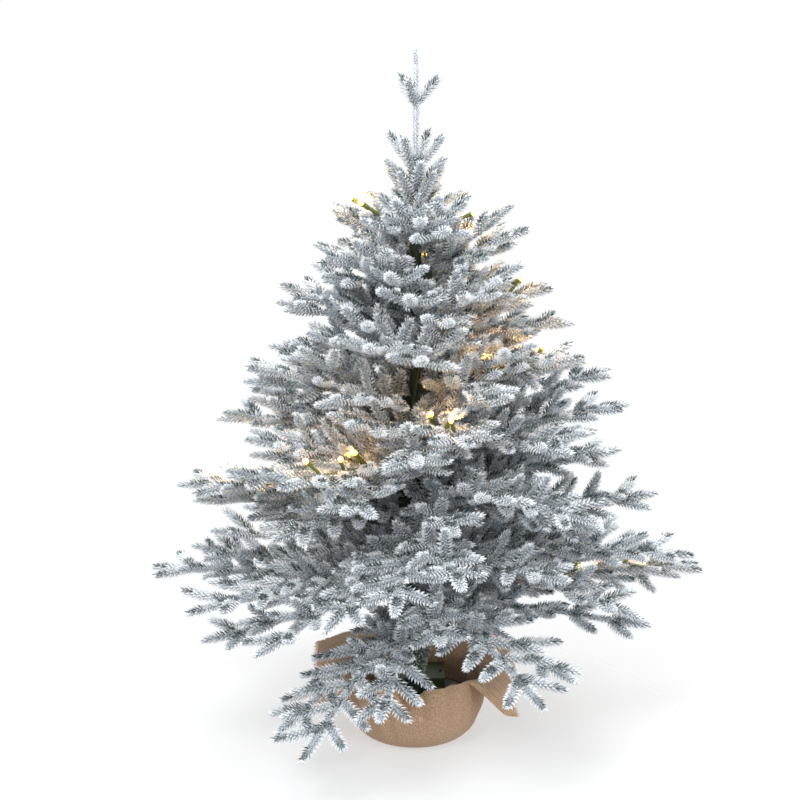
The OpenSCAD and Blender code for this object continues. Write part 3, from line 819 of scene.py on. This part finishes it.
def makeTrunkWire():
    # from the battery box round the wrap, then up the pole between the rows of hinges
    rowTurn = (3 * goldenTurn - 360) / 3
    points = [Vector((29, 13.9, 44)) * mm, Vector((28, 9, 45)) * mm, Vector((22, 2, 51)) * mm]
    for k in range(12):
        z = 60 + (126 - 60) * k / 11
        radius = 11 + 11 * max(0, z - 62) / 64
        points.append(polar(275 * k / 11, radius + 1.2, z))
    points += [polar(290, 18, 130), polar(300, 12, 135)]
    for path in paths:
        points.append(polar(305 + rowTurn * path.i, 7.4, path.height / mm))
    for k in range(1, 15):
        points.append(polar(305 + rowTurn * 29 + 24 * k, 7.4, 548 + 9 * min(1, k / 4)))
    wire = joined(strandCurve(points, "trunkStrand"), "trunkWire")
    coat(wire, olivePlastic)
    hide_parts("light_wire")
    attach(wire, "root")


makeTrunkWire()
print("stage: lights made")


sackRule = dict(foldDepth=3.4 * mm, frontRise=8.5 * mm, notch=19 * mm, across=240, rings=60, foot=44 * mm,
                belly=75 * mm, bellyZ=46 * mm, mouth=73 * mm, mouthZ=64 * mm, flapX=108 * mm, flapY=100 * mm,
                corner=128 * mm, thick=0.9 * mm, bottomTo=0.22, sideTo=0.55, mouthTo=0.68,
                folds=((0.5, 9, 0.7), (0.35, 16, 2.1), (0.25, 27, 0.4)))


def flapReach(turn):
    # how far the turned-out cloth reaches: a square cut at the sides and back, nothing in front
    c, s = math.cos(turn), math.sin(turn)
    square = min(sackRule["flapX"] / max(1e-6, abs(c)), sackRule["flapY"] / max(1e-6, abs(s)))
    square = min(square, sackRule["corner"])
    ahead = math.degrees(math.atan2(-s, abs(c)))    # 90 straight in front, -90 straight behind
    rim = sackRule["mouth"] + 2 * mm
    return rim + (square - sackRule["mouth"] - 2 * mm) * smoothStep((42 - ahead) / 16)


tubRule = dict(foot=41.4 * mm, belly=66.9 * mm, bellyZ=22 * mm, rim=69.8 * mm, rise=14 * mm, clear=1.3 * mm)


def tubRadius(z):
    # the tub's outside, from its foot through its belly to its rim
    rule = tubRule
    if z < rule["bellyZ"]:
        return rule["foot"] + (rule["belly"] - rule["foot"]) * max(0, z) / rule["bellyZ"]
    return rule["belly"] + (rule["rim"] - rule["belly"]) * min(1, (z - rule["bellyZ"]) / rule["rise"])


def sackPoint(turn, share):
    # share runs from the middle of the bottom (0) through the belly to the cut edge (1)
    rule = sackRule
    degrees = math.degrees(turn) % 360
    fold = sum(amount * math.sin(times * turn + start) for amount, times, start in rule["folds"])
    frontLeft = math.exp(-((degrees - 238) / 26) ** 2)
    # sharp creases where the cloth is drawn together at the front
    fold += frontLeft * 2.1 * (abs(math.sin(11 * turn + 5 * share)) - 0.6)
    drawn = math.exp(-((degrees - 268) / 17) ** 2)
    fold -= 2.4 * drawn * smoothStep((share - 0.36) / 0.2)
    bottomTo, sideTo, mouthTo = rule["bottomTo"], rule["sideTo"], rule["mouthTo"]
    if share < bottomTo:                  # flat bottom
        u = share / bottomTo
        radius, z, amount = rule["foot"] * u, 0.0, 0.0
    elif share < sideTo:                  # round side
        u = (share - bottomTo) / (sideTo - bottomTo)
        a = u * math.pi / 2
        radius = rule["foot"] + (rule["belly"] - rule["foot"]) * math.sin(a) ** 0.85
        z = rule["bellyZ"] * (1 - math.cos(a)) ** 0.9
        amount = smoothStep(u - 0.15)
    elif share < mouthTo:                 # up to the mouth
        u = (share - sideTo) / (mouthTo - sideTo)
        radius = rule["belly"] + (rule["mouth"] - rule["belly"]) * smoothStep(u)
        z = rule["bellyZ"] + (rule["mouthZ"] - rule["bellyZ"]) * u
        amount = 1.0
    else:                                 # turned out
        u = (share - mouthTo) / (1 - mouthTo)
        edge = flapReach(turn)
        opening = (edge - rule["mouth"]) / (40 * mm)
        radius = rule["mouth"] + (edge - rule["mouth"]) * u
        c, s = math.cos(turn), math.sin(turn)
        back = smoothStep(s * 0.5 + 0.5)
        rise = (4 + 12 * back) * mm * math.sin(min(1, u * 1.3) * math.pi * 0.62)
        hang = 34 * mm * u * u * smoothStep((0.75 - s) / 1.3) * min(1, opening)
        ruffle = 5 * mm * u * math.sin(7 * turn + 1.0) * min(1, opening)
        z = rule["mouthZ"] + rise - hang + ruffle + 2 * mm * math.sin(min(1, u * 3) * math.pi)
        amount = 1 - 0.6 * u
    radius += fold * amount * rule["foldDepth"]
    if share >= bottomTo and z < 42 * mm:     # the cloth lies on the tub and never inside it
        radius = max(radius, tubRadius(z) + tubRule["clear"])
    if share > 0.5:                       # the front rim stands higher, and dips in a V
        front = smoothStep((-math.sin(turn) - 0.1) / 0.5) * smoothStep((share - 0.5) / 0.18)
        notch = math.exp(-((degrees - 268) / 8) ** 2)
        z += (rule["frontRise"] - rule["notch"] * notch) * front
    return Vector((radius * math.cos(turn), radius * math.sin(turn), max(z, 0.0) + 0.5 * rule["thick"]))


def makeSack():
    rule = sackRule
    deselectAll()
    bpy.ops.mesh.primitive_grid_add(x_subdivisions=rule["across"], y_subdivisions=rule["rings"], size=2)
    sack = bpy.context.active_object
    mesh = sack.data
    layer = mesh.uv_layers.get("UVMap") or mesh.uv_layers.new(name="UVMap")
    layer.name = "weave"
    for vertex in mesh.vertices:
        turn = (vertex.co.x + 1) * math.pi
        share = 0.004 + 0.996 * (vertex.co.y + 1) / 2
        vertex.co = sackPoint(turn, share)
    # the weave runs straight across the cloth, as it was cut
    for loop, item in zip(mesh.loops, layer.data):
        co = mesh.vertices[loop.vertex_index].co
        turn = math.atan2(co.y, co.x)
        run = math.hypot(co.x, co.y) + co.z
        item.uv = (run * math.cos(turn), run * math.sin(turn))
    pick(sack)
    bpy.ops.object.mode_set(mode="EDIT")
    bpy.ops.mesh.select_all(action="SELECT")
    bpy.ops.mesh.remove_doubles(threshold=0.00005)
    bpy.ops.mesh.select_all(action="DESELECT")
    bpy.ops.object.mode_set(mode="OBJECT")
    thick = sack.modifiers.new("thickness", "SOLIDIFY")
    thick.thickness = rule["thick"]
    thick.offset = 0
    applyModifiers(sack)
    pick(sack)
    bpy.ops.object.shade_smooth()
    sack.name = "burlapSack"
    coat(sack, burlapCloth)
    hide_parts("burlap_sack")
    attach(sack, "root")
    return sack


sack = makeSack()


burlapYarn = patchMaterial("burlapYarn", burlap["light"], burlap["dark"], 300, (0.85, 0.95))
frayRule = dict(count=900, size=(0.35, 0.75))


def makeFray():
    # loose yarn ends along the cut edges
    draw = random.Random(3)
    parts = []
    for n in range(frayRule["count"]):
        turn = 2 * math.pi * n / frayRule["count"]
        if flapReach(turn) < sackRule["mouth"] + 20 * mm:
            continue
        edge = sackPoint(turn, 1.0)
        c, s = math.cos(turn), math.sin(turn)
        sideCut = sackRule["flapX"] / max(1e-6, abs(c)) < sackRule["flapY"] / max(1e-6, abs(s))
        out = Vector((math.copysign(1, c), 0, 0)) if sideCut else Vector((0, math.copysign(1, s), 0))
        way = out + Vector((draw.uniform(-0.2, 0.2), draw.uniform(-0.2, 0.2), draw.uniform(-0.25, 0.1)))
        place = Matrix.Translation(edge - out * 1.0 * mm) @ facing(way, (0, 0.1, 1))
        size = draw.uniform(*frayRule["size"])
        parts.append(copyOf(needleModel, place @ Matrix.Diagonal((0.35, 0.6, size, 1))))
    fray = joined(parts, "sackFray")
    coat(fray, burlapYarn)
    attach(fray, "root")
    return fray


fray = makeFray()
sackArea = sum(p.area for p in sack.data.polygons) / 2
print("stage: sack made, cloth area", round(sackArea, 4))


# better materials for the parts that keep their own shape
finishes = dict(weight_tub=tubPlastic, cement_fill=cement, trunk_pole=greenPaint,
                trunk_foot_sleeve=greenPaint, pole_cap=greenPaint, branch_clips=greenPaint,
                hinge_pins=pinSteel, battery_case=boxPlastic, battery_cover=boxPlastic,
                cover_screw=pinSteel, switch_slider=blackPlastic, battery_cells=cellJacket,
                cell_springs=pinSteel, contact_plates=pinSteel, timer_board=boardMask)
for name, material in finishes.items():
    for place in nodes[name].material_slots:
        place.material = material

# the models were only copied from
for model in [needleModel, sleeve, holderModel, lensModel, *sprigs.values()]:
    bpy.data.objects.remove(model, do_unlink=True)


view = dict(distance=2.2, elevation=15, target=(-0.016, 0, 0.377), width=0.848)


def makeStage():
    deselectAll()
    bpy.ops.mesh.primitive_plane_add(size=2, location=(0, 0, 0))
    floor = bpy.context.active_object
    floor.name = "floor"
    material, tree, shader = newMaterial("paleFloor")
    shader.inputs["Base Color"].default_value = (0.9, 0.9, 0.9, 1)
    shader.inputs["Roughness"].default_value = 1.0
    shader.inputs["Specular IOR Level"].default_value = 0.0
    # it fades into the white background away from the tree
    where = tree.nodes.new("ShaderNodeTexCoord")
    far = tree.nodes.new("ShaderNodeVectorMath")
    far.operation = "LENGTH"
    fade = tree.nodes.new("ShaderNodeMapRange")
    fade.interpolation_type = "SMOOTHSTEP"
    for label, value in (("From Min", 0.12), ("From Max", 0.5), ("To Min", 0.5), ("To Max", 0.0)):
        fade.inputs[label].default_value = value
    tree.links.new(where.outputs["Object"], far.inputs[0])
    tree.links.new(far.outputs["Value"], fade.inputs["Value"])
    tree.links.new(fade.outputs["Result"], shader.inputs["Alpha"])
    floor.data.materials.append(material)
    floor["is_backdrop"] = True


def makeWorld():
    world = bpy.data.worlds.new("studio")
    bpy.context.scene.world = world
    world.use_nodes = True
    tree = world.node_tree
    tree.nodes.clear()
    output = tree.nodes.new("ShaderNodeOutputWorld")
    mix = tree.nodes.new("ShaderNodeMixShader")
    soft = tree.nodes.new("ShaderNodeBackground")
    soft.inputs["Color"].default_value = (0.93, 0.96, 1.0, 1)
    soft.inputs["Strength"].default_value = 0.62
    white = tree.nodes.new("ShaderNodeBackground")
    white.inputs["Color"].default_value = (1, 1, 1, 1)
    white.inputs["Strength"].default_value = 1.0
    path = tree.nodes.new("ShaderNodeLightPath")
    first = tree.nodes.new("ShaderNodeMath")
    first.operation = "MAXIMUM"
    second = tree.nodes.new("ShaderNodeMath")
    second.operation = "MAXIMUM"
    tree.links.new(path.outputs["Is Camera Ray"], first.inputs[0])
    tree.links.new(path.outputs["Is Glossy Ray"], first.inputs[1])
    tree.links.new(first.outputs["Value"], second.inputs[0])
    tree.links.new(path.outputs["Is Transmission Ray"], second.inputs[1])
    tree.links.new(second.outputs["Value"], mix.inputs["Fac"])
    tree.links.new(soft.outputs["Background"], mix.inputs[1])
    tree.links.new(white.outputs["Background"], mix.inputs[2])
    tree.links.new(mix.outputs["Shader"], output.inputs["Surface"])


# place, side of the square, power
lamps = dict(key=((-0.7, -1.6, 2.1), 1.1, 50), fill=((1.7, -1.3, 1.1), 1.8, 14),
             top=((0.2, 0.3, 2.6), 1.4, 26))


def makeLamps():
    for name, (place, size, power) in lamps.items():
        lamp = bpy.data.lights.new(name, "AREA")
        lamp.shape = "SQUARE"
        lamp.size = size
        lamp.energy = power
        obj = bpy.data.objects.new(name, lamp)
        bpy.context.collection.objects.link(obj)
        obj.location = place
        obj.rotation_euler = (Vector((0, 0, 0.35)) - Vector(place)).to_track_quat("-Z", "Y").to_euler()


def makeCamera():
    camera = bpy.data.cameras.new("camera")
    camera.sensor_width = 36
    camera.lens = 36 * view["distance"] / view["width"]
    obj = bpy.data.objects.new("camera", camera)
    bpy.context.collection.objects.link(obj)
    a = math.radians(view["elevation"])
    target = Vector(view["target"])
    obj.location = target + Vector((0, -math.cos(a), math.sin(a))) * view["distance"]
    obj.rotation_euler = (target - obj.location).to_track_quat("-Z", "Y").to_euler()
    bpy.context.scene.camera = obj


makeStage()
makeWorld()
makeLamps()
makeCamera()
bpy.context.scene.view_settings.view_transform = "Standard"
print("stage: studio made")


count = 0
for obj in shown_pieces():
    obj.data.calc_loop_triangles()
    count += len(obj.data.loop_triangles)
print("stage: all pieces in place,", count, "triangles")
